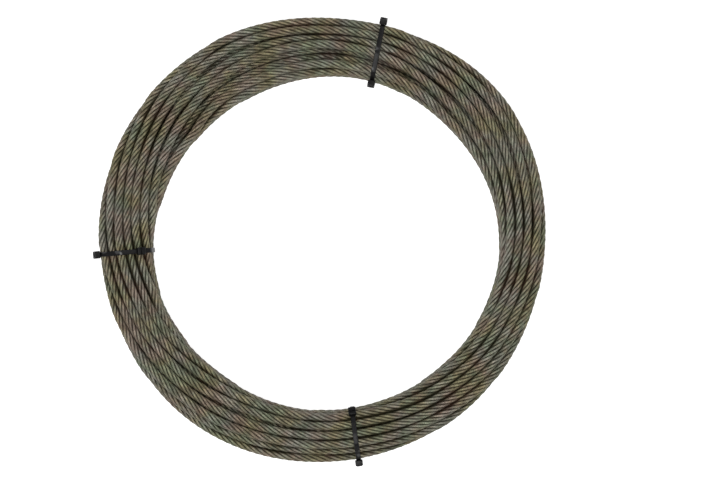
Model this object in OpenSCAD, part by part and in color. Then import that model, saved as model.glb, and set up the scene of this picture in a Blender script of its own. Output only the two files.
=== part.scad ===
// Coil of wire rope, lying flat. The rope is wound into a round bundle of turns and held by
// three bindings. Each binding is two cable ties chained into one loop: the tail of each tie
// runs through the head of the other.
//
// Millimetres. The Z axis is the coil's own axis and points up. The origin is on that axis,
// on the floor that the ties' straps stand on.
//
// A binding is drawn flat, in the upright plane through the coil's axis. Its stations are
// angles round the bundle's section: 0 faces away from the axis, 90 up, 180 towards the axis.

/* [Rope] */
// Diameter of the wire rope
rope_d = 9; // [7:0.5:12]
// How far the strands of two neighbouring turns bed into each other
turn_bed = 0.4; // [0.2:0.1:0.8]

/* [Coil] */
// Diameter of the eye, clear between the innermost turns
eye_d = 348; // [300:1:400]
// Turns side by side in the widest layer, at mid height
mid_turns = 6; // [5:1:8]
// Layers above the widest one, each a turn narrower, and as many again below it
side_layers = 2; // [1:1:3]

/* [Cable ties] */
// Width of a strap
strap_w = 4.8; // [3.6:0.1:5.6]
// Thickness of a strap
strap_t = 1.3; // [1:0.1:1.8]
// Width of a head, along the rope
head_w = 7.6; // [7:0.1:9]
// Length of a head, along the strap
head_l = 8.2; // [7:0.1:10]
// Height of a head above the strap that passes under it
head_h = 5.6; // [4:0.1:7]
// Rounding of a head's two top edges
head_round = 1.2; // [0.5:0.1:2]
// Length of the trimmed tail that stands out of a head
tail_stub = 1; // [0.5:0.1:4]
// Clear gap round a tail in a head's slot, on the three sides that don't grip it
slot_gap = 0.2; // [0.1:0.05:0.3]

/* [Bindings] */
// Angle of binding A round the coil, from the X axis
tie_a_angle = 73.5; // [50:0.5:110]
// Angle of binding B round the coil
tie_b_angle = 184; // [150:0.5:220]
// Angle of binding C round the coil
tie_c_angle = 279.5; // [250:0.5:320]
// Where binding A's inner head stands: in the eye, or on top at the eye's side
tie_a_inner_head = "eye"; // [eye, top]
// Where binding B's inner head stands
tie_b_inner_head = "top"; // [eye, top]
// Where binding C's inner head stands
tie_c_inner_head = "top"; // [eye, top]

/* [Hidden] */
$fn = 72;

rope_r = rope_d / 2;
// Turns lie in a honeycomb: each layer rests in the hollows of the one below.
pitch = rope_d - turn_bed;
layer_rise = pitch * sin(60);

// Half widths of the widest and the top layer, between the centres of their end turns
mid_half = pitch * (mid_turns - 1) / 2;
top_half = mid_half - pitch * side_layers / 2;
stack_half = layer_rise * side_layers;

bundle_r = eye_d / 2 + rope_r + mid_half;
bundle_z = strap_t + rope_r + stack_half;

// The bundle's section is a six-sided stack. A corner turn sits at every sixth of a circle.
facet = 360 / 6;
outer_station = 0;
top_station = 2 * facet;
eye_station = 3 * facet;
corners = [[mid_half, 0], [top_half, stack_half], [-top_half, stack_half],
           [-mid_half, 0], [-top_half, -stack_half], [top_half, -stack_half]];
full_turn = len(corners) * facet;
band_r = rope_r + strap_t;
// Flats in each bend of a strap and in each rounded edge of a head
bend_flats = 5;

function away(a) = [cos(a), sin(a)];
function along(a) = [-sin(a), cos(a)];
function corner_at(station) = corners[(station / facet) % len(corners)];

// Turns that show in one layer: both ends of it, and all of them in the top and bottom layers
function layer_turns(layer) =
    let (count = mid_turns - abs(layer))
    [for (i = [0 : count - 1])
        if (abs(layer) == side_layers || i == 0 || i == count - 1)
            [pitch * (i - (count - 1) / 2), layer_rise * layer]];

// ---- the rope ----

module coil_section() {
    polygon(corners);
    for (layer = [-side_layers : side_layers], turn = layer_turns(layer))
        translate(turn) circle(rope_r);
}

// The wound rope as one turned solid: its turns are the ribs all round it, and its bore is the eye
module rope_coil() {
    color([0.35, 0.33, 0.28])
        rotate_extrude()
            translate([bundle_r, bundle_z]) coil_section();
}

// ---- the cable ties ----

// A point given from a station: its height above the corner turn's surface, and its place
// along the strap, anticlockwise
function from_station(station, p) =
    corner_at(station) + (rope_r + p[0]) * away(station) + p[1] * along(station);

// Flats that touch a round from the outside, between two angles
function bend(centre, radius, first, last) =
    let (step = (last - first) / bend_flats, reach = radius / cos(step / 2))
    [for (i = [0.5 : bend_flats]) centre + reach * away(first + i * step)];

// One side of the strap, round every corner turn between two stations
function band_side(from, to, radius) =
    [for (a = [from + facet : facet : to - facet])
        each bend(corner_at(a), radius, a - facet / 2, a + facet / 2)];

function reversed(points) = [for (i = [len(points) - 1 : -1 : 0]) points[i]];

// Strap from one station to another, with the root that carries its own head and the tail
// that turns out through the other head
module strap_section(from, to) {
    root_angle = asin(strap_t / 2 / rope_r);
    tail_angle = asin(strap_t / 2 / band_r);
    tail_end = strap_t + head_h + tail_stub;
    // The head's end stands on the strap's straight run, which leaves the bend at half a facet
    foot = (band_r - head_l / 2 * sin(facet / 2)) / cos(facet / 2) - rope_r;
    inside = concat(
        [corner_at(from) + rope_r * away(from + root_angle)],
        bend(corner_at(from), rope_r, from + root_angle, from + facet / 2),
        band_side(from, to, rope_r),
        bend(corner_at(to), rope_r, to - facet / 2, to),
        [from_station(to, [0, 0])]);
    tail = [for (p = [[0, strap_t / 2], [tail_end, strap_t / 2], [tail_end, -strap_t / 2]])
        from_station(to, p)];
    outside = concat(
        band_side(from, to, band_r),
        bend(corner_at(to), band_r, to - facet / 2, to - tail_angle),
        [corner_at(to) + band_r * away(to - tail_angle)]);
    root = [for (p = [[foot, head_l / 2], [strap_t, head_l / 2], [strap_t, strap_t / 2]])
        from_station(from, p)];
    polygon(concat(inside, tail, reversed(outside), root));
}

// Head block, round along its two top edges, with a heel that grows out of its own strap
module head_section(from) {
    half = head_l / 2;
    top = strap_t + head_h - head_round;
    outline = concat(
        [[strap_t, -half]],
        bend([top, head_round - half], head_round, -90, 0),
        bend([top, half - head_round], head_round, 0, 90),
        [[strap_t / 2, half], [strap_t / 2, strap_t / 2], [strap_t, strap_t / 2]]);
    polygon([for (p = outline) from_station(from, p)]);
}

// Slot for the other tie's tail. Its wall on the strap's side holds the tail.
module slot_section(from) {
    bottom = -strap_t / 2 - slot_gap;
    top = strap_t + head_h + tail_stub;
    polygon([for (p = [[0, bottom], [top, bottom], [top, strap_t / 2], [0, strap_t / 2]])
        from_station(from, p)]);
}

module cable_tie(angle, from, to) {
    color([0.09, 0.09, 0.09])
        rotate([0, 0, angle]) translate([bundle_r, 0, bundle_z]) rotate([90, 0, 0]) {
            linear_extrude(strap_w, center = true) strap_section(from, to);
            difference() {
                linear_extrude(head_w, center = true) head_section(from);
                linear_extrude(strap_w + 2 * slot_gap, center = true) slot_section(from);
            }
        }
}

function inner_station(inner_head) = inner_head == "eye" ? eye_station : top_station;

// The tie whose head stands outside the coil: its strap runs over the top of the bundle
module outer_tie(angle, inner_head) {
    cable_tie(angle, outer_station, inner_station(inner_head));
}

// The tie whose head is on the eye's side: its strap runs under the bundle
module inner_tie(angle, inner_head) {
    cable_tie(angle, inner_station(inner_head), outer_station + full_turn);
}

rope_coil();
outer_tie(tie_a_angle, tie_a_inner_head);  // cable_tie_a_outer
inner_tie(tie_a_angle, tie_a_inner_head);  // cable_tie_a_inner
outer_tie(tie_b_angle, tie_b_inner_head);  // cable_tie_b_outer
inner_tie(tie_b_angle, tie_b_inner_head);  // cable_tie_b_inner
outer_tie(tie_c_angle, tie_c_inner_head);  // cable_tie_c_outer
inner_tie(tie_c_angle, tie_c_inner_head);  // cable_tie_c_inner
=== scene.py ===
"""A coil of wire rope held by three bindings of cable ties: how it looks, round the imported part.

Everything is in metres, in the part's own frame: Z is the coil's axis and the floor is at zero.
Angles round the coil are clock angles: they start at +X and run clockwise, seen from above. Along
the rope they count on from turn to turn, and t holds them. A section holds where the rope lies at
each of them: how far from the coil's axis, and how high.
"""

from math import atan2, cos, pi, radians, sin, tau

import bpy
import numpy as np
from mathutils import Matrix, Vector


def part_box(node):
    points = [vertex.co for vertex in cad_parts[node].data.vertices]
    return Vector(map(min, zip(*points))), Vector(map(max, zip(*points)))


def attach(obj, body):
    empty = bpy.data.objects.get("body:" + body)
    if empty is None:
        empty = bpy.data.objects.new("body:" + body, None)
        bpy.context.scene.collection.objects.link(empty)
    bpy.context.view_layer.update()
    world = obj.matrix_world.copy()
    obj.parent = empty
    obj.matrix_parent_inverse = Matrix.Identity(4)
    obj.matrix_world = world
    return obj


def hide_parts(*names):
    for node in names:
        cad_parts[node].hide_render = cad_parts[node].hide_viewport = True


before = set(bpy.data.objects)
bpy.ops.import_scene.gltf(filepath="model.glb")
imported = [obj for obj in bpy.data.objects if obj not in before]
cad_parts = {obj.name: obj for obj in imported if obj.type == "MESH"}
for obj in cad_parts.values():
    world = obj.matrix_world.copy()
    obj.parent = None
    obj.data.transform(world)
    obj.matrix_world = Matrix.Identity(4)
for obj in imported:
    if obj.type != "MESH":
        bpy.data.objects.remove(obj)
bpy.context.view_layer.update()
MM = 0.001

# ---- the rope ----
ROPE_D = 9 * MM
ROPE_R = ROPE_D / 2
STRANDS = 6
STRAND_D = 2.84 * MM
HELIX_R = ROPE_R - STRAND_D / 2  # from the rope's centre to a strand's centre
LAY = 49 * MM  # along the rope, for one turn of a strand
WIRES = 12  # outer wires of a strand
WIRE_LAY = 20 * MM  # along the strand, for one turn of its wires
BED = 0.3 * MM  # how far the strands of two neighbouring turns bed into each other
# Corners of a strand's section, in degrees from the side that faces out of the rope
SECTION = [0, 35, 70, 110, 180, 250, 290, 325]

# ---- how the turns lie ----
CORE_TURNS, MIDDLE_TURNS, SURFACE_TURNS = 1, 8, 15
TURNS = CORE_TURNS + MIDDLE_TURNS + SURFACE_TURNS - 0.03  # the last one stops a little short
START = radians(280)  # clock angle of the rope's inner end
FIRST_PLACE = radians(-31)  # where the first turn of a ring lies, round the bundle's section
MIDDLE_RING = 0.774  # radius of the middle turns' ring, as a share of the surface turns' ring
PITCH = ROPE_D - BED  # between two turns that touch
SECTION_AREA = 2032 * MM * MM  # width times height of the bundle
STEP_HIDDEN, STEP_SHOWN = 6.5 * MM, 2.7 * MM  # between rings of the strands' meshes

# ---- how the turns settle ----
SLICES = 240  # of one turn, where the turns are laid against each other
SETTLING_STEPS = 240
SINK = 0.04 * MM  # how far the turns drop in the first step: less in each later one
GIVE = 0.8  # share of a push that is followed in one step
STIFFNESS = 5  # slices over which the rope evens out a push


def rope_measures():
    """Mean radius of the bundle of turns, and the height that its lowest turns lie at."""
    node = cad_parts["rope_coil"]
    far = [v.co.to_2d().length for v in node.data.vertices]
    return (min(far) + max(far)) / 2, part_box("rope_coil")[0].z


BUNDLE_R, STRAP_T = rope_measures()


def waves(t, mean, parts):
    """A mean and a few waves round the coil: each has a count, a height and, in degrees, its crest."""
    return mean + sum(height * np.cos(n * t - radians(crest)) for n, height, crest in parts)


def bundle_centre(t):
    """How far the middle of the bundle is from the coil's axis: the coil isn't quite round."""
    mean = BUNDLE_R + 0.7 * MM
    parts = [(1, 4.1, 49), (2, 2.0, -35), (3, 0.6, -93), (4, 0.4, -151), (5, 0.3, -170)]
    return waves(t, mean, [(n, height * MM, crest) for n, height, crest in parts])


def bundle_width(t):
    """How wide the bundle is, seen from above."""
    mean = 55.15 * MM
    parts = [(1, 7.4, -123), (2, 2.7, -179), (3, 3.0, -76), (4, 2.7, -176), (5, 1.2, -156), (6, 0.7, 76)]
    return waves(t, mean, [(n, height * MM, crest) for n, height, crest in parts])


def bundle_height(t):
    """The section keeps its area, so the bundle is high where it is narrow."""
    return SECTION_AREA / bundle_width(t)


def bundle_twist(t):
    """How far the whole bundle has turned about its own middle line."""
    return waves(t, 0, [(1, 1.12, -88), (2, 0.11, 85), (3, 0.03, 55)])


def ease(x, start, end):
    """Goes smoothly from 0 at the start to 1 at the end."""
    share = np.clip((x - start) / (end - start), 0, 1)
    return share * share * (3 - 2 * share)


def slack(turn):
    """The turns weren't wound quite evenly: how far each strays round its ring. Each sway has an angle
    in radians, the turns that it lasts, and where it starts, in degrees."""
    sways = [(0.094, 3.1, -180), (0.044, 1.7, 115), (0.121, 1.1, 158), (0.016, 0.62, 60), (0.01, 0.45, 27)]
    return sum(angle * np.sin(tau * turn / spell + radians(start)) for angle, spell, start in sways)


def crowding(place):
    """The turns of a ring lie closer together on one side of it than on the other. Each shift has an
    angle in radians, its waves round the ring, and where they start, in degrees."""
    shifts = [(0.059, 1, 13), (-0.059, 2, 42)]
    return sum(angle * np.sin(tau * n * place + radians(start)) for angle, n, start in shifts)


def first_lay():
    """The turns as rings round a core, each turn one place further round its ring than the last."""
    turn = np.arange(int(round(TURNS * SLICES)) + 1) / SLICES
    t = START + tau * turn
    lead = 0.05  # of a turn, before the rope starts to step out, and again before its place counts
    step_out = 0.13  # of a turn, in which the rope steps out to the next ring
    into_middle = CORE_TURNS + lead
    into_surface = CORE_TURNS + MIDDLE_TURNS + lead
    out = MIDDLE_RING * ease(turn, into_middle, into_middle + step_out)
    out = out + (1 - MIDDLE_RING) * ease(turn, into_surface, into_surface + step_out)
    place = np.where(
        turn < into_surface + lead,
        (turn - into_middle - lead) / MIDDLE_TURNS,
        (turn - into_surface - lead) / SURFACE_TURNS,
    )
    angle = FIRST_PLACE - tau * place - bundle_twist(t) + slack(turn) + crowding(place)
    half_w = (bundle_width(t) - ROPE_D) / 2
    half_h = (bundle_height(t) - ROPE_D) / 2
    across = bundle_centre(t) + out * half_w * np.cos(angle)
    up = half_h + ROPE_R + out * half_h * np.sin(angle)
    return t, np.stack([across, up], 1)


def smoothed(values, spread):
    """Evens out a change along the rope, as far as its stiffness does."""
    reach = int(3 * spread)
    kernel = np.exp(-0.5 * (np.arange(-reach, reach + 1) / spread) ** 2)
    kernel /= kernel.sum()
    padded = np.pad(values, ((reach, reach), (0, 0)), mode="edge")
    return np.stack([np.convolve(padded[:, k], kernel, "valid") for k in (0, 1)], 1)


def push_apart(section):
    """How far each turn has to move so that no two of a slice overlap, and the worst overlap."""
    far_off = 1000.0  # where the rest of the last row is put
    no_gap = 1e-9  # keeps the division below from failing
    count = int(np.ceil(len(section) / SLICES))
    spare = count * SLICES - len(section)
    rows = np.concatenate([section, np.full((spare, 2), far_off)]).reshape(count, SLICES, 2)
    a, b = np.triu_indices(count, 1)
    gap = rows[a] - rows[b]
    apart = np.sqrt((gap**2).sum(2)) + no_gap
    overlap = np.clip(PITCH - apart, 0, None)
    move = gap / apart[..., None] * (0.5 * overlap)[..., None]
    total = np.zeros_like(rows)
    np.add.at(total, a, move)
    np.add.at(total, b, -move)
    return total.reshape(-1, 2)[: len(section)], overlap.max()


def lay_turns(tie_clocks):
    """Lets the turns settle on each other, on the floor and on the straps under them."""
    t, section = first_lay()
    half_room = bundle_width(t) / 2 - ROPE_R
    nearest = bundle_centre(t) - half_room
    farthest = bundle_centre(t) + half_room
    on_strap, off_strap = radians(3), radians(12)  # from the middle of a strap
    lowest = np.full(len(t), ROPE_R)
    for clock in tie_clocks:
        off = np.abs((t - clock + pi) % tau - pi)
        lowest = np.maximum(lowest, ROPE_R + STRAP_T * (1 - ease(off, on_strap, off_strap)))
    for k in range(SETTLING_STEPS):
        push, worst = push_apart(section)
        push[:, 1] -= SINK * (1 - k / SETTLING_STEPS)
        section = section + GIVE * smoothed(push, STIFFNESS)
        section[:, 0] = np.clip(section[:, 0], nearest, farthest)
        section[:, 1] = np.maximum(section[:, 1], lowest)
    top = section[:, 1].max() + ROPE_R
    print(f"turns laid: worst overlap {worst / MM:.2f} mm, top {top / MM:.1f} mm")
    return t, section


def rope_line(t, section):
    """The rope's centreline, with points closer together where turns show."""
    hidden_step = STEP_HIDDEN / (tau * BUNDLE_R)
    shown_step = STEP_SHOWN / (tau * BUNDLE_R)
    last_hidden = CORE_TURNS + MIDDLE_TURNS - 0.1
    first = np.arange(0, last_hidden, hidden_step)
    rest = np.arange(first[-1] + shown_step, TURNS, shown_step)
    at = START + tau * np.concatenate([first, rest])
    across = np.interp(at, t, section[:, 0])
    up = np.interp(at, t, section[:, 1])
    return np.stack([across * np.cos(at), -across * np.sin(at), up], 1)


def crevice_depth(points, t, section):
    """How far each point of the rope is from the next turn's surface: zero where the turns touch."""
    across = np.linalg.norm(points[..., :2], axis=-1)
    clock = (-np.arctan2(points[..., 1], points[..., 0]) - START) % tau + START
    far = 1.0
    nearest = np.full(across.shape, far)  # centre of a turn: this is the point's own turn
    next_nearest = np.full(across.shape, far)
    for k in range(int(TURNS) + 1):
        at = clock + tau * k
        sideways = across - np.interp(at, t, section[:, 0])
        upward = points[..., 2] - np.interp(at, t, section[:, 1])
        away = np.where(at > t[-1], far, np.hypot(sideways, upward))
        next_nearest = np.minimum(next_nearest, np.maximum(nearest, away))
        nearest = np.minimum(nearest, away)
    return np.clip(next_nearest - ROPE_R, 0, None)


def unit(v):
    return v / np.linalg.norm(v, axis=-1, keepdims=True)


def lengths(line):
    """Distance along a line, at each of its points."""
    steps = np.linalg.norm(np.diff(line, axis=0), axis=1)
    return np.concatenate([[0], np.cumsum(steps)])


def tube(name, rings, places, along, seed=0):
    """A closed tube through rings of points. The map named lay holds metres along it, and the share of
    the way round plus a whole number that tells one strand from another. With the mesh it gives what
    write_rows needs."""
    count, around = rings.shape[:2]
    ring, side = np.meshgrid(np.arange(count - 1), np.arange(around), indexing="ij")
    nxt = (side + 1) % around
    corners = np.stack(
        [ring * around + side, ring * around + nxt, (ring + 1) * around + nxt, (ring + 1) * around + side],
        -1,
    ).reshape(-1, 4)
    ends = [list(range(around))[::-1], list(range((count - 1) * around, count * around))]
    mesh = bpy.data.meshes.new(name)
    mesh.from_pydata(rings.reshape(-1, 3).tolist(), [], corners.tolist() + ends)
    corner_ring = np.stack([ring, ring, ring + 1, ring + 1], -1)
    corner_side = np.stack([side, side + 1, side + 1, side], -1)
    length = along[corner_ring]
    share = np.append(places, 1.0)[corner_side]
    write_map(mesh, "lay", length, share + seed, ends)
    mesh.shade_smooth()
    return mesh, length, share, ends


def write_rows(mesh, length, share, ends, girth):
    """The map named OFBake, for baked pictures: the tube cut into rows that fill a square."""
    side_margin, row_margin = 0.002, 0.06
    starts = length[:, :, 0]
    total = length.max()
    rows = int(round((total / girth) ** 0.5))
    row = np.minimum((starts * rows / total).astype(int), rows - 1)
    row_start = np.array([starts[row == k].min() for k in range(rows)])
    longest = (length[:, :, 2] - row_start[row]).max()
    u = side_margin + (length - row_start[row][..., None]) / longest * (1 - 2 * side_margin)
    v = (row[..., None] + row_margin + share * (1 - 2 * row_margin)) / rows
    write_map(mesh, "OFBake", u, v, ends)


def write_map(mesh, name, u, v, ends):
    """A UV map of a tube: its sides' corners, and its two ends at one point each."""
    layer = mesh.uv_layers.new(name=name)
    sides = np.stack([u, v], -1).reshape(-1, 2)
    caps = np.concatenate([np.tile(sides[at], (len(end), 1)) for at, end in zip((0, -1), ends)])
    layer.uv.foreach_set("vector", np.concatenate([sides, caps]).astype(np.float32).ravel())


def strand(index, line, along, t, section):
    """One strand, laid right-handed round the rope's centreline. Its map named crevice holds how far
    the next turn is, in millimetres."""
    ahead = unit(np.gradient(line, axis=0))
    outward = unit(line * [1, 1, 0])
    outward = unit(outward - ahead * (outward * ahead).sum(1, keepdims=True))
    upward = np.cross(ahead, outward)
    phase = tau * (along / LAY + index / STRANDS)
    spoke = np.cos(phase)[:, None] * outward + np.sin(phase)[:, None] * upward
    sideways = np.cos(phase)[:, None] * upward - np.sin(phase)[:, None] * outward
    centre = line + HELIX_R * spoke
    heading = unit(ahead + tau * HELIX_R / LAY * sideways)
    across = np.cross(heading, spoke)
    rings = np.stack(
        [centre + STRAND_D / 2 * (cos(radians(a)) * spoke + sin(radians(a)) * across) for a in SECTION], 1
    )
    mesh, *laid = tube(f"rope_strand_{index + 1}", rings, np.array(SECTION) / 360, lengths(centre), index)
    write_rows(mesh, *laid, girth=pi * STRAND_D)
    depth = crevice_depth(rings, t, section).ravel() / MM
    corner = np.empty(len(mesh.loops), int)
    mesh.loops.foreach_get("vertex_index", corner)
    layer = mesh.uv_layers.new(name="crevice")
    layer.uv.foreach_set("vector", np.stack([depth[corner]] * 2, 1).astype(np.float32).ravel())
    return new_piece(mesh)


def new_piece(mesh):
    """A mesh as an object of its own, under the mesh's name."""
    piece = bpy.data.objects.new(mesh.name, mesh)
    bpy.context.scene.collection.objects.link(piece)
    return piece


# ---- the cable ties ----
BAND_W = 4.8 * MM
BAND_EDGE_R = 0.4 * MM
HEAD_W, HEAD_L, HEAD_H = 7.6 * MM, 8.2 * MM, 5.6 * MM
SLOT_GAP = 0.2 * MM  # clear all round a tail in a head's slot
TAIL_STUB = 0.8 * MM  # how far a tail stands out of the head it runs through
# Each binding: how far its plane is turned from the radial one, and where its two heads stand. A head
# stands at an angle round the bundle's section, from the side that faces away from the coil's axis,
# or, on the top of the bundle, at a distance from that axis.
BINDINGS = {
    "a": (5.4, {"outer": {"angle": 25}, "inner": {"angle": 165}}),
    "b": (0.9, {"outer": {"angle": 25}, "inner": {"distance": 182.5 * MM}}),
    "c": (-2.2, {"outer": {"angle": 0}, "inner": {"distance": 178 * MM}}),
}
STATION = 2.5  # degrees between the corners of a taut band


def binding_clock(letter):
    """Where a binding stands round the coil, from its solid."""
    low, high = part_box(f"cable_tie_{letter}_outer")
    middle = (low + high) / 2
    return -atan2(middle.y, middle.x) % tau


class Binding:
    """The plane of one binding, and the taut outline of the turns inside it."""

    def __init__(self, letter, t, section):
        self.letter = letter
        slant, heads = BINDINGS[letter]
        clock = binding_clock(letter)
        angle = -clock + radians(slant)
        middle = float(bundle_centre(clock))
        self.origin = np.array([middle * cos(clock), -middle * sin(clock), 0])
        self.away = np.array([cos(angle), sin(angle), 0])
        self.width = np.array([-sin(angle), cos(angle), 0])
        self.centres = []  # of the turns, at both edges of the strap and in its middle
        for shift in (-BAND_W / 2, 0, BAND_W / 2):
            for k in range(int(TURNS) + 2):
                at = clock + tau * k + shift / middle
                if t[0] <= at <= t[-1]:
                    across = np.interp(at, t, section[:, 0]) - middle
                    self.centres.append([across, np.interp(at, t, section[:, 1])])
        self.centres = np.array(self.centres)
        self.heads = {side: self.station(middle, **spot) for side, spot in heads.items()}

    def station(self, middle, angle=None, distance=None):
        """Where a head stands, counted in corners of the band."""
        if angle is not None:
            return angle / STATION
        first, last, step = 30 / STATION, 180 / STATION, 0.05
        over_top = np.arange(first, last, step)
        foot, facing = self.band(over_top, ROPE_R)
        across = middle + foot[:, 0] + (STRAP_T + HEAD_H / 2) * np.cos(facing)
        return over_top[np.abs(across - distance).argmin()]

    def band(self, stations, radius):
        """Places on a taut band round every turn, anticlockwise, each with its outward angle."""
        angles = np.radians(STATION) * np.arange(round(360 / STATION) + 1)
        facing = np.stack([np.cos(angles), np.sin(angles)], 1)
        corners = self.centres[(facing @ self.centres.T).argmax(1)] + radius * facing
        stations = np.asarray(stations, float)
        where = stations % (len(angles) - 1)
        steps = np.arange(len(angles))
        flat = np.stack([np.interp(where, steps, corners[:, k]) for k in (0, 1)], -1)
        return flat, np.radians(STATION) * stations

    def place(self, flat):
        """A point of the plane, as across and up, brought into the part's frame."""
        flat = np.asarray(flat)
        up = np.array([0, 0, 1.0])
        return self.origin + flat[..., :1] * self.away + flat[..., 1:2] * up


def rounded_box(half_x, half_y, radius, steps=4):
    """Corners of a rectangle with round corners, anticlockwise."""
    points = []
    for quarter, (x, y) in enumerate([(1, 1), (-1, 1), (-1, -1), (1, -1)]):
        for k in range(steps + 1):
            a = (quarter + k / steps) * pi / 2
            points.append([x * (half_x - radius) + radius * cos(a), y * (half_y - radius) + radius * sin(a)])
    return np.array(points)


def strap(binding, name, start, end):
    """The strap of one tie from its own head to the other tie's head, where its tail turns out."""
    between = np.arange(int(start) + 1, int(np.ceil(end)))
    path, facing = binding.band(np.concatenate([[start], between]), ROPE_R + STRAP_T / 2)
    foot, end = binding.band(end, ROPE_R + STRAP_T / 2)
    out = np.array([cos(end), sin(end)])
    along = np.array([-sin(end), cos(end)])
    bend_r, bend_steps = 1.0 * MM, 6
    tail_heights = (2 * MM, 4 * MM, STRAP_T / 2 + HEAD_H + TAIL_STUB)
    path, facing = path[:-1], facing[:-1]
    for k in range(bend_steps + 1):
        a = k / bend_steps * pi / 2
        path = np.vstack([path, foot + along * (bend_r * (sin(a) - 1)) + out * (bend_r * (1 - cos(a)))])
        facing = np.append(facing, end - a)
    for height in tail_heights:
        path = np.vstack([path, foot + out * height])
        facing = np.append(facing, end - pi / 2)
    shortest_step = 0.05 * MM
    keep = np.append(True, np.linalg.norm(np.diff(path, axis=0), axis=1) > shortest_step)
    path, facing = path[keep], facing[keep]
    normal = np.stack([np.cos(facing), np.sin(facing)], 1)
    section = rounded_box(BAND_W / 2, STRAP_T / 2, BAND_EDGE_R)
    rings = np.stack([binding.place(path + normal * y) + x * binding.width for x, y in section], 1)
    around = np.linalg.norm(section - np.roll(section, 1, 0), axis=1)
    share = np.cumsum(np.append(0, around[1:])) / around.sum()
    mesh = tube(name, rings, share, lengths(binding.place(path)))[0]
    mesh.set_sharp_from_angle(angle=radians(50))
    return mesh


def head(binding, name, station):
    """The tie's head: a block with round edges and a slot right through it."""
    foot, angle = binding.band(station, ROPE_R)
    out = np.array([cos(angle), sin(angle)])
    along = np.array([-sin(angle), cos(angle)])
    corner_r, edge_r, edge_steps = 1.0 * MM, 0.7 * MM, 4
    chamfer = 0.4 * MM  # round the bottom
    lip = 0.3 * MM  # chamfer round the slot's upper end
    slot_r, wide_slot_r = 0.2 * MM, 0.3 * MM
    half_l, half_w = STRAP_T / 2 + SLOT_GAP, BAND_W / 2 + SLOT_GAP
    slot = rounded_box(half_l, half_w, slot_r)
    wide_slot = rounded_box(half_l + lip, half_w + lip, wide_slot_r)

    def block(inset):
        return rounded_box(HEAD_L / 2 - inset, HEAD_W / 2 - inset, corner_r - inset * 0.6)

    top = STRAP_T + HEAD_H
    levels = [(slot, STRAP_T), (block(chamfer), STRAP_T), (block(0), STRAP_T + chamfer)]
    for k in range(edge_steps + 1):
        a = k / edge_steps * pi / 2
        levels.append((block(edge_r * (1 - cos(a))), top - edge_r * (1 - sin(a))))
    levels += [(wide_slot, top), (slot, top - lip)]
    count = len(slot)
    points = []
    for shape, height in levels:
        flat = foot + shape[:, :1] * along + height * out
        points += (binding.place(flat) + shape[:, 1:] * binding.width).tolist()
    faces = []
    for level in range(len(levels)):
        below = (level + 1) % len(levels)
        for k in range(count):
            nxt = (k + 1) % count
            faces.append([level * count + k, level * count + nxt, below * count + nxt, below * count + k])
    mesh = bpy.data.meshes.new(name)
    mesh.from_pydata(points, [], faces)
    mesh.shade_smooth()
    mesh.set_sharp_from_angle(angle=radians(40))
    return mesh


def join_meshes(name, meshes):
    """Several meshes as one object."""
    pieces = [new_piece(m) for m in meshes]
    with bpy.context.temp_override(active_object=pieces[0], selected_editable_objects=pieces):
        bpy.ops.object.join()
    pieces[0].name = name
    pieces[0].data.name = name
    return pieces[0]


def cable_tie(binding, side, start, end):
    """One tie as one moulding: its head at the start station, and its strap on to the end station."""
    name = f"tie_{binding.letter}_{side}"
    parts = [strap(binding, name + "_strap", start, end), head(binding, name + "_head", start)]
    piece = join_meshes(name, parts)
    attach(piece, "root")
    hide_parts(f"cable_tie_{binding.letter}_{side}")
    return piece


# ---- materials ----


class Nodes:
    """Short ways to add shader nodes to one tree."""

    def __init__(self, tree):
        self.tree = tree
        tree.nodes.clear()

    def add(self, kind, **values):
        node = self.tree.nodes.new(kind)
        for key, value in values.items():
            setattr(node, key, value)
        return node

    def set(self, socket, value):
        if isinstance(value, bpy.types.NodeSocket):
            self.tree.links.new(value, socket)
        else:
            socket.default_value = value

    def math(self, operation, *values):
        node = self.add("ShaderNodeMath", operation=operation)
        for socket, value in zip(node.inputs, values):
            self.set(socket, value)
        return node.outputs[0]

    def range(self, value, low, high, to_low=0.0, to_high=1.0, smooth=True):
        node = self.add("ShaderNodeMapRange")
        node.interpolation_type = "SMOOTHSTEP" if smooth else "LINEAR"
        for socket, v in zip(node.inputs, (value, low, high, to_low, to_high)):
            self.set(socket, v)
        return node.outputs[0]

    def point(self, x, y, z):
        node = self.add("ShaderNodeCombineXYZ")
        for socket, v in zip(node.inputs, (x, y, z)):
            self.set(socket, v)
        return node.outputs[0]

    def split(self, uv_map):
        """The two numbers of a UV map."""
        node = self.add("ShaderNodeSeparateXYZ")
        self.set(node.inputs[0], self.add("ShaderNodeUVMap", uv_map=uv_map).outputs[0])
        return node.outputs[0], node.outputs[1]

    def shift(self, vector, distance):
        node = self.add("ShaderNodeVectorMath", operation="ADD")
        self.set(node.inputs[0], vector)
        node.inputs[1].default_value = (distance, distance, distance)
        return node.outputs[0]

    def seen(self):
        """1 for what the camera sees, also in a reflection or through glass, and 0 for light."""
        path = self.add("ShaderNodeLightPath")
        direct = self.math("MAXIMUM", path.outputs["Is Camera Ray"], path.outputs["Is Glossy Ray"])
        return self.math("MAXIMUM", direct, path.outputs["Is Transmission Ray"])

    def output(self, kind, surface):
        """Links the last node to the output of the material or world."""
        self.set(self.add(kind).inputs[0], surface.outputs[0])

    def noise(self, vector, scale, detail=2.0, roughness=0.5):
        node = self.add("ShaderNodeTexNoise")
        self.set(node.inputs["Vector"], vector)
        node.inputs["Scale"].default_value = scale
        node.inputs["Detail"].default_value = detail
        node.inputs["Roughness"].default_value = roughness
        return node.outputs["Fac"]

    def mix(self, share, a, b):
        node = self.add("ShaderNodeMix", data_type="RGBA")
        self.set(node.inputs[0], share)
        self.set(node.inputs[6], a)
        self.set(node.inputs[7], b)
        return node.outputs[2]


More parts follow.
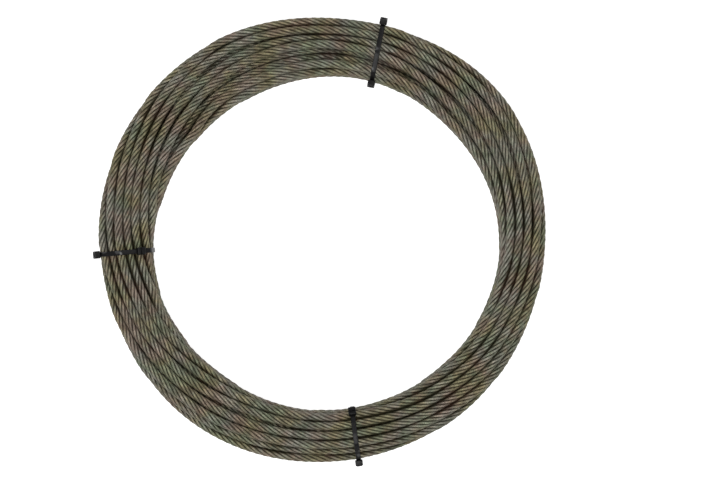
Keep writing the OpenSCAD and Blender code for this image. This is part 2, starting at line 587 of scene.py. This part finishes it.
def srgb(r, g, b):
    """A colour as it looks on a screen, in the numbers that shaders take."""

    def linear(c):
        c /= 255
        return c / 12.92 if c <= 0.04045 else ((c + 0.055) / 1.055) ** 2.4

    return (linear(r), linear(g), linear(b), 1)


def new_material(name):
    """An empty material, and its tree."""
    material = bpy.data.materials.new(name)
    material.use_nodes = True
    return material, Nodes(material.node_tree)


def rope_material():
    """Greased steel wire, gone dull: olive, brown and grey in patches, with rust in the wires, painted
    shade where the turns touch and in the valleys between strands and wires, and a painted highlight along
    the crest of each strand."""
    material, n = new_material("wire_rope")
    along, around = n.split("lay")
    gap = n.split("crevice")[0]
    # 1 on the crest of a strand, and -1 on the side that lies in the rope
    facing_out = n.math("COSINE", n.math("MULTIPLY", around, tau))
    wire = n.math("ADD", n.math("MULTIPLY", around, WIRES), n.math("MULTIPLY", along, WIRES / WIRE_LAY))
    ridge = n.math("ABSOLUTE", n.math("SINE", n.math("MULTIPLY", wire, pi)))
    wire_number = n.math("FLOOR", wire)
    # Streaks, rust and moss follow single wires, and blotches follow the strand: so many to a metre
    by_wire = n.math("MULTIPLY", wire_number, 5.3)
    streak = n.noise(n.point(n.math("MULTIPLY", along, 160), by_wire, 0.0), 1.0, 3)
    blotch = n.noise(n.point(n.math("MULTIPLY", along, 60), n.math("MULTIPLY", around, 5.0), 4.0), 1.0, 2)
    rust = n.noise(n.point(n.math("MULTIPLY", along, 210), by_wire, 20.0), 1.0, 2)
    moss = n.noise(n.point(n.math("MULTIPLY", along, 210), by_wire, 40.0), 1.0, 2)
    # Patches that cross from turn to turn
    place = n.add("ShaderNodeTexCoord").outputs["Object"]
    warm = n.noise(place, 30, 3, 0.6)
    tint = n.noise(n.shift(place, 3.0), 44, 3, 0.55)
    # This one varies how far the painted shade between the turns reaches
    spread = n.noise(n.shift(place, 7.0), 16, 3, 0.6)
    grime = n.noise(n.shift(place, 5.0), 120, 3, 0.6)

    grey, olive = srgb(152, 150, 138), srgb(149, 141, 108)
    tan, green = srgb(158, 136, 123), srgb(132, 146, 120)
    rust_colour, moss_colour = srgb(164, 124, 100), srgb(120, 140, 108)
    base = n.mix(n.range(warm, 0.36, 0.64), grey, olive)
    base = n.mix(n.math("MULTIPLY", n.range(tint, 0.50, 0.66), 0.55), base, tan)
    base = n.mix(n.math("MULTIPLY", n.range(tint, 0.50, 0.34), 0.6), base, green)
    base = n.mix(n.math("MULTIPLY", n.range(rust, 0.56, 0.72), 0.45), base, rust_colour)
    base = n.mix(n.math("MULTIPLY", n.range(moss, 0.56, 0.72), 0.35), base, moss_colour)
    # How much of that colour shows over the dark grease colour: random streaks, blotches and grime,
    # with painted shade and a painted highlight on the strands, and painted shade where the turns touch
    shade = n.range(streak, 0.25, 0.75, 0.45, 1.45, smooth=False)
    shade = n.math("MULTIPLY", shade, n.range(blotch, 0.3, 0.7, 0.76, 1.12))
    shade = n.math("MULTIPLY", shade, n.range(grime, 0.3, 0.65, 0.62, 1.15))
    # Painted highlight along each strand's crest, and painted shade on its flanks
    shade = n.math("MULTIPLY", shade, n.range(facing_out, 0.1, 1.0, 0.56, 1.17))
    # Painted shade in the grooves between the wires
    shade = n.math("MULTIPLY", shade, n.range(ridge, 0.0, 0.7, 0.70, 1.0))
    # Painted shade where the turns touch: darker the closer the next turn, deeper or shallower in random
    # patches
    depth = n.math("SUBTRACT", gap, n.range(spread, 0.35, 0.65, -1.2, 1.3))
    painted_crevice_shade = n.range(depth, -0.3, 2.8, 0.09, 1.0)
    shade = n.math("MULTIPLY", shade, painted_crevice_shade)
    # The dark colour for grease and for painted shade alike
    grease_and_shade_colour = n.mix(n.range(tint, 0.45, 0.62), srgb(29, 26, 12), srgb(40, 24, 13))
    colour = n.mix(n.math("MULTIPLY", shade, 0.65), grease_and_shade_colour, base)

    shader = n.add("ShaderNodeBsdfPrincipled")
    n.set(shader.inputs["Base Color"], colour)
    shader.inputs["Metallic"].default_value = 0.4
    # Painted shade in the reflection as well: less of it where the turns touch
    n.set(shader.inputs["Specular IOR Level"], n.math("MULTIPLY", painted_crevice_shade, 0.34))
    n.set(shader.inputs["Roughness"], n.range(streak, 0.2, 0.8, 0.66, 0.46))
    bump = n.add("ShaderNodeBump")
    bump.inputs["Strength"].default_value = 0.6
    bump.inputs["Distance"].default_value = 0.2 * MM
    n.set(bump.inputs["Height"], n.math("ADD", ridge, n.math("MULTIPLY", streak, 0.3)))
    n.set(shader.inputs["Normal"], bump.outputs[0])
    n.output("ShaderNodeOutputMaterial", shader)
    return material


def nylon_material():
    """Black moulded nylon: a smooth skin with a faint ripple, a little dust and a few scuffs that shine."""
    material, n = new_material("tie_nylon")
    place = n.add("ShaderNodeTexCoord").outputs["Object"]
    dust = n.noise(place, 700, 3, 0.6)
    ripple = n.noise(place, 260, 2)
    on_strap = n.math("GREATER_THAN", n.split("lay")[0], 0.5 * MM)
    scuff = n.math("MULTIPLY", on_strap, n.range(n.noise(n.shift(place, 3.2), 90, 1), 0.58, 0.66))
    shader = n.add("ShaderNodeBsdfPrincipled")
    n.set(shader.inputs["Base Color"], n.mix(n.range(dust, 0.45, 0.8), srgb(6, 6, 7), srgb(26, 25, 23)))
    n.set(shader.inputs["Specular IOR Level"], n.range(scuff, 0.0, 1.0, 0.13, 0.6))
    n.set(shader.inputs["Roughness"], n.range(dust, 0.3, 0.7, 0.32, 0.46))
    bump = n.add("ShaderNodeBump")
    bump.inputs["Strength"].default_value = 0.25
    bump.inputs["Distance"].default_value = 0.1 * MM
    n.set(bump.inputs["Height"], ripple)
    n.set(shader.inputs["Normal"], bump.outputs[0])
    n.output("ShaderNodeOutputMaterial", shader)
    return material


# ---- the stage ----
FLOOR_SIZE = 8.0
FLOOR_GLOW = 0.75  # what the floor lacks to white where no shadow falls


def white_floor():
    """A white floor that keeps the coil's soft shadow."""
    half = FLOOR_SIZE / 2
    corners = [(-half, -half, 0), (half, -half, 0), (half, half, 0), (-half, half, 0)]
    mesh = bpy.data.meshes.new("floor")
    mesh.from_pydata(corners, [], [(0, 1, 2, 3)])
    floor = new_piece(mesh)
    material, n = new_material("floor")
    diffuse = n.add("ShaderNodeBsdfDiffuse")
    diffuse.inputs[0].default_value = (0.8, 0.8, 0.8, 1)
    glow = n.add("ShaderNodeEmission")
    n.set(glow.inputs["Strength"], n.math("MULTIPLY", n.seen(), FLOOR_GLOW))
    total = n.add("ShaderNodeAddShader")
    n.set(total.inputs[0], diffuse.outputs[0])
    n.set(total.inputs[1], glow.outputs[0])
    n.output("ShaderNodeOutputMaterial", total)
    mesh.materials.append(material)


def white_world(light):
    """A world that is seen as white, and lights the coil by less."""
    world = bpy.data.worlds.new("studio")
    bpy.context.scene.world = world
    world.use_nodes = True
    n = Nodes(world.node_tree)
    background = n.add("ShaderNodeBackground")
    background.inputs["Color"].default_value = (1, 1, 1, 1)
    n.set(background.inputs["Strength"], n.range(n.seen(), 0, 1, light, 1.0, smooth=False))
    n.output("ShaderNodeOutputWorld", background)


def area_light(name, place, target, size, energy):
    """A round soft light that faces the target."""
    data = bpy.data.lights.new(name, "AREA")
    data.shape = "DISK"
    data.size = size
    data.energy = energy
    lamp = bpy.data.objects.new(name, data)
    bpy.context.scene.collection.objects.link(lamp)
    lamp.location = place
    lamp.rotation_euler = (Vector(target) - Vector(place)).to_track_quat("-Z", "Y").to_euler()


def camera_above():
    """Straight above the coil, which sits left of the picture's middle."""
    data = bpy.data.cameras.new("camera")
    data.lens, data.sensor_width = 85, 36
    camera = bpy.data.objects.new("camera", data)
    bpy.context.scene.collection.objects.link(camera)
    camera.location = (38.8 * MM, -2 * MM, 1756 * MM)
    bpy.context.scene.camera = camera


# ---- making it ----
camera_above()
t, section = lay_turns([binding_clock(letter) for letter in BINDINGS])
line = rope_line(t, section)
along = lengths(line)
print(f"rope length {along[-1]:.2f} m in {len(line)} rings")
strands = [strand(k, line, along, t, section) for k in range(STRANDS)]
steel = rope_material()
for piece in strands:
    piece.data.materials.append(steel)
    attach(piece, "root")
    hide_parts("rope_coil")
nylon = nylon_material()
for letter in BINDINGS:
    binding = Binding(letter, t, section)
    outer, inner = binding.heads["outer"], binding.heads["inner"]
    for side, start, end in (("outer", outer, inner), ("inner", inner, outer + 360 / STATION)):
        cable_tie(binding, side, start, end).data.materials.append(nylon)

white_floor()
white_world(light=0.24)
area_light("key", place=(-0.25, -0.35, 2.4), target=(0, 0, 0), size=1.2, energy=38)
area_light("fill", place=(0.9, 0.8, 1.8), target=(0, 0, 0), size=1.2, energy=7)
bpy.context.scene.view_settings.view_transform = "Standard"
